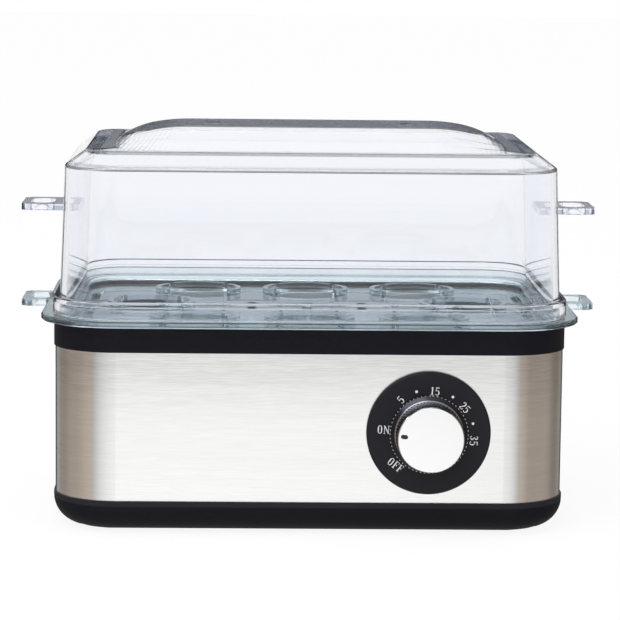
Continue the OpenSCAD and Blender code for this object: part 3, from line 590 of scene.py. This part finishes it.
class EGGCOOKER_OT_dial(bpy.types.Operator):
    """Black dial plate with its white marks"""

    bl_idname = "eggcooker.dial"
    bl_label = "Dial"

    # Name, words, distance from the dial's axis in mm, then in degrees the angle of the place
    # and the tilt of the words
    marks = (
        ("off", "OFF", 17.25, 224.5, -38.0),
        ("on", "ON", 17.0, 175.4, -2.0),
        ("5", "5", 16.6, 130.0, 46.0),
        ("15", "15", 16.2, 82.5, -5.0),
        ("25", "25", 16.7, 36.7, -48.0),
        ("35", "35", 17.2, -8.7, -94.0),
    )
    # Distance and angle, as above
    dots = ((16.6, 107.0), (16.5, 57.6), (17.0, 13.1))

    def execute(self, context):
        values = context.scene.egg_cooker_dial
        plate = Surface(
            "dial_black", Base_Color=finish().dial, Roughness=0.4, Specular_IOR_Level=0.15
        )
        plate.bump(plate.noise(1200.0, detail=2.0), strength=0.15, distance=0.0002)
        plate.dress("dial_plate")
        white = plain("dial_print", finish().print_white, rough=0.4, spread=0.15, scale=2500.0)
        material = white.joined()
        low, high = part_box("dial_plate")
        centre = Vector(((low.x + high.x) / 2, low.y, (low.z + high.z) / 2))
        for name, words, *spot in self.marks:
            self.place("mark_" + name, self.words(words, values), material, centre, *spot)
        for number, spot in enumerate(self.dots):
            self.place(f"dot_{number + 1}", self.dot(values), material, centre, *spot)
        return {"FINISHED"}

    def words(self, words, values):
        """The letters side by side as flattened strokes, centred and facing up."""
        data = bpy.data.curves.new("words", "CURVE")
        data.dimensions, data.bevel_depth, data.bevel_resolution = "3D", 1.0, 1
        data.use_fill_caps = True
        gap = LETTER_UNITS * values.letter_gap
        start = -(sum(LETTERS[letter][0] for letter in words) + gap * (len(words) - 1)) / 2
        for letter in words:
            width, strokes = LETTERS[letter]
            for smooth, *points in strokes:
                closed = points[0] == points[-1]
                points = points[: len(points) - closed]
                spline = data.splines.new("BEZIER")
                spline.bezier_points.add(len(points) - 1)
                spline.use_cyclic_u = closed
                for point, (x, y, thick) in zip(spline.bezier_points, points):
                    point.co = (start + x, y - LETTER_UNITS / 2, 0.0)
                    point.radius = thick / 2 * values.letter_weight
                    point.handle_left_type = "AUTO" if smooth else "VECTOR"
                    point.handle_right_type = point.handle_left_type
            start += width + gap
        drawn = link_object("words", data)
        bpy.context.view_layer.update()
        mesh = bpy.data.meshes.new_from_object(drawn)
        bpy.data.objects.remove(drawn)
        size = values.letter_height / LETTER_UNITS
        width = size * values.letter_stretch
        flat = values.print_height / max(vertex.co.z for vertex in mesh.vertices)
        mesh.transform(Matrix.Diagonal((width, size, flat, 1.0)))
        return mesh

    def dot(self, values):
        """A thin disc that faces up."""
        radius = values.dot_size / 2
        shape = bmesh.new()
        bmesh.ops.create_cone(
            shape,
            cap_ends=True,
            segments=24,
            radius1=radius,
            radius2=radius,
            depth=2 * values.print_height,
        )
        return mesh_from("dot", shape)

    def place(self, name, mesh, material, centre, reach, angle, tilt=0.0):
        """Stands a flat mesh on the dial's front and makes it a piece."""
        mesh.name = name
        angle = math.radians(angle)
        spot = reach / 1000 * Vector((math.cos(angle), 0.0, math.sin(angle)))
        mesh.transform(
            Matrix.Translation(centre + spot)
            @ Matrix.Rotation(math.radians(tilt), 4, (0.0, -1.0, 0.0))
            @ Matrix.Rotation(math.radians(90.0), 4, "X")
        )
        mesh.materials.clear()
        mesh.materials.append(material)
        piece = link_object(name, mesh)
        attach(piece, "base")


class EGGCOOKER_OT_knob(bpy.types.Operator):
    """Chromed timer knob with its pointer mark"""

    bl_idname = "eggcooker.knob"
    bl_label = "Timer knob"

    # Where painted highlights lie on the dark side: chrome colour put on the knurl tops, on a ring
    # behind the face and on the skirt's edge, where the real knob only reflects light. They are
    # given as depths behind the face and distances from the axis. The knurls get painted highlights
    # at their tops only.
    face_ends = (0.0004, 0.0007)
    ring_depth = (0.0009, 0.0011, 0.0015, 0.0017)
    front_knurls = (0.0028, 0.0032, 0.0052, 0.0056)
    rear_knurls = (0.0074, 0.0078)
    knurl_tops = (0.01256, 0.01266, 0.0129, 0.0131)
    skirt_highlight = (0.01458, 0.01470)
    knurl_share, ring_share = 0.4, 0.45

    def execute(self, context):
        chrome = Surface("knob_chrome", Metallic=1.0)
        low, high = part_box("knob")
        x, y, z = (chrome.along(axis) for axis in range(3))
        x, z = x - (low.x + high.x) / 2, z - (low.z + high.z) / 2
        reach = (x * x + z * z).root()
        depth = y - low.y
        side = depth.between(*self.face_ends)
        rows = depth.within(*self.front_knurls) + depth.between(*self.rear_knurls)
        knurl_highlights = reach.within(*self.knurl_tops) * rows
        ring = depth.within(*self.ring_depth)
        # Painted highlights: shares of chrome colour on the skirt's edge, the knurl tops and the
        # ring, laid over the dark side
        painted_highlights = reach.between(*self.skirt_highlight) + knurl_highlights * self.knurl_share + ring * self.ring_share
        plating = painted_highlights.clamped().blend(finish().knob_side, finish().chrome)
        chrome.feed(
            Base_Color=side.blend(finish().chrome, plating),
            Roughness=0.05 + chrome.noise(300.0) * 0.05 + side * 0.12,
        )
        chrome.dress("knob")
        pointer = plain("pointer_black", (0.008, 0.008, 0.01), rough=0.25, spread=0.1, scale=900.0)
        pointer.dress("knob_pointer")
        return {"FINISHED"}


class EGGCOOKER_OT_tray(bpy.types.Operator):
    """Clear egg tray with an aqua tint"""

    bl_idname = "eggcooker.tray"
    bl_label = "Egg tray"

    def execute(self, context):
        clear = Surface(
            "tray_clear",
            Base_Color=finish().tray_clear,
            Transmission_Weight=1.0,
            IOR=1.5,
            Roughness=0.03,
        )
        clear.absorb(finish().tray_tint, density=25.0)
        clear.thin(share=0.15, tint=(0.94, 0.985, 0.99))
        clear.dress("egg_tray")
        return {"FINISHED"}


class EGGCOOKER_OT_lid(bpy.types.Operator):
    """Clear lid"""

    bl_idname = "eggcooker.lid"
    bl_label = "Lid"

    # Two bands of the underside, near the edges of the top and of the shoulder, as distances
    # outward from the corner centres and as heights. Light that gets caught between them and the
    # edges above would draw black lines, so these bands let some of it pass unbent.
    corner_x, corner_y = 0.073, 0.047
    top_out, top_heights = (0.0066, 0.0070, 0.0117, 0.0120), (0.1408, 0.1412, 0.1421, 0.1424)
    wall_out, wall_heights = (0.0161, 0.0167, 0.0179, 0.0182), (0.1362, 0.1365, 0.1382, 0.1386)
    top_share, wall_share, vent_share = 0.55, 0.35, 0.7
    # The vents are matt: how far they are from the middle, their edge and their lowest height
    vent_x = 0.038
    vent_edge = (0.0028, 0.0032)
    vent_bottom = (0.146, 0.147)

    def execute(self, context):
        clear = Surface(
            "lid_clear", Base_Color=finish().lid_clear, Transmission_Weight=1.0, IOR=1.5
        )
        clear.absorb(finish().lid_tint, density=15.0)
        low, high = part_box("lid")
        x, y, z = abs(clear.along(0)), abs(clear.along(1) - (low.y + high.y) / 2), clear.along(2)
        out_x, out_y = (x - self.corner_x).at_least(0.0), (y - self.corner_y).at_least(0.0)
        out = (out_x * out_x + out_y * out_y).root()
        under_top = out.within(*self.top_out) * z.within(*self.top_heights)
        under_wall = out.within(*self.wall_out) * z.within(*self.wall_heights)
        vent = x - self.vent_x
        from_vent = (vent * vent + y * y).root()
        vents = (1.0 - from_vent.between(*self.vent_edge)) * z.between(*self.vent_bottom)
        clear.feed(Roughness=0.01 + vents * 0.8)
        share = under_top * self.top_share + under_wall * self.wall_share + vents * self.vent_share
        clear.thin(share.clamped(), tint=(0.985, 0.988, 0.996))
        clear.dress("lid")
        return {"FINISHED"}


class EGGCOOKER_OT_inside(bpy.types.Operator):
    """Heater, timer and wiring inside the base"""

    bl_idname = "eggcooker.inside"
    bl_label = "Inner pieces"

    # Name, colour, least roughness, its spread, scale of its noise, metallic share and pieces
    finishes = (
        (
            "zinc_plate", (0.66, 0.66, 0.64), 0.3, 0.2, 120.0, 1.0,
            (
                "pan_straps", "strap_nuts", "element_clips", "heat_shield", "thermal_fuse",
                "fuse_clip", "timer_bracket", "timer_bell", "timer_screws", "base_screws",
                "timer_shaft",
            ),
        ),
        ("cast_aluminium", (0.7, 0.7, 0.71), 0.4, 0.2, 400.0, 1.0, ("heat_spreader",)),
        (
            "ceramic", (0.85, 0.83, 0.77), 0.18, 0.15, 300.0, 0.0,
            ("terminal_beads", "terminal_block"),
        ),
        ("phenolic", (0.05, 0.045, 0.04), 0.4, 0.15, 500.0, 0.0, ("thermostat", "gland_nut")),
        ("timer_plastic", (0.72, 0.69, 0.6), 0.4, 0.15, 500.0, 0.0, ("timer_case",)),
        (
            "brass", (0.72, 0.55, 0.24), 0.25, 0.15, 400.0, 1.0,
            ("timer_terminals", "terminal_screws"),
        ),
        ("wire_brown", (0.22, 0.09, 0.04), 0.35, 0.15, 600.0, 0.0, ("lead_live", "lead_heater")),
        ("wire_white", (0.8, 0.79, 0.74), 0.35, 0.15, 600.0, 0.0, ("lead_fuse",)),
        ("wire_blue", (0.05, 0.13, 0.45), 0.35, 0.15, 600.0, 0.0, ("lead_neutral",)),
        ("wire_earth", (0.3, 0.5, 0.07), 0.35, 0.15, 600.0, 0.0, ("lead_earth",)),
    )

    def execute(self, context):
        for *settings, nodes in self.finishes:
            plain(*settings).dress(*nodes)
        sheath = Surface("heater_sheath", Metallic=1.0)
        heat = sheath.noise(30.0)
        tinted = heat.between(0.4, 0.6).blend((0.3, 0.27, 0.24), (0.36, 0.3, 0.22))
        sheath.feed(Base_Color=tinted, Roughness=0.35 + heat * 0.2)
        sheath.dress("heating_element")
        return {"FINISHED"}


class EGGCOOKER_PT_panel(bpy.types.Panel):
    """Lists the pieces of the egg cooker"""

    bl_idname = "EGGCOOKER_PT_panel"
    bl_label = "Egg cooker"
    bl_space_type = "VIEW_3D"
    bl_region_type = "UI"
    bl_category = "Egg cooker"

    def draw(self, context):
        for step in STEPS:
            self.layout.operator(step.bl_idname)


GROUPS = {
    "egg_cooker_camera": EggCookerCamera,
    "egg_cooker_studio": EggCookerStudio,
    "egg_cooker_finish": EggCookerFinish,
    "egg_cooker_dial": EggCookerDial,
}
STEPS = (
    EGGCOOKER_OT_camera,
    EGGCOOKER_OT_studio,
    EGGCOOKER_OT_mouldings,
    EGGCOOKER_OT_sleeve,
    EGGCOOKER_OT_pan,
    EGGCOOKER_OT_dial,
    EGGCOOKER_OT_knob,
    EGGCOOKER_OT_tray,
    EGGCOOKER_OT_lid,
    EGGCOOKER_OT_inside,
)


def register():
    for kind in (*GROUPS.values(), *STEPS, EGGCOOKER_PT_panel):
        bpy.utils.register_class(kind)
    for name, group in GROUPS.items():
        setattr(bpy.types.Scene, name, PointerProperty(type=group))


def unregister():
    for name in GROUPS:
        delattr(bpy.types.Scene, name)
    for kind in reversed((*GROUPS.values(), *STEPS, EGGCOOKER_PT_panel)):
        bpy.utils.unregister_class(kind)


def main():
    register()
    for step in STEPS:
        group, name = step.bl_idname.split(".")
        getattr(getattr(bpy.ops, group), name)()


if __name__ == "__main__":
    main()
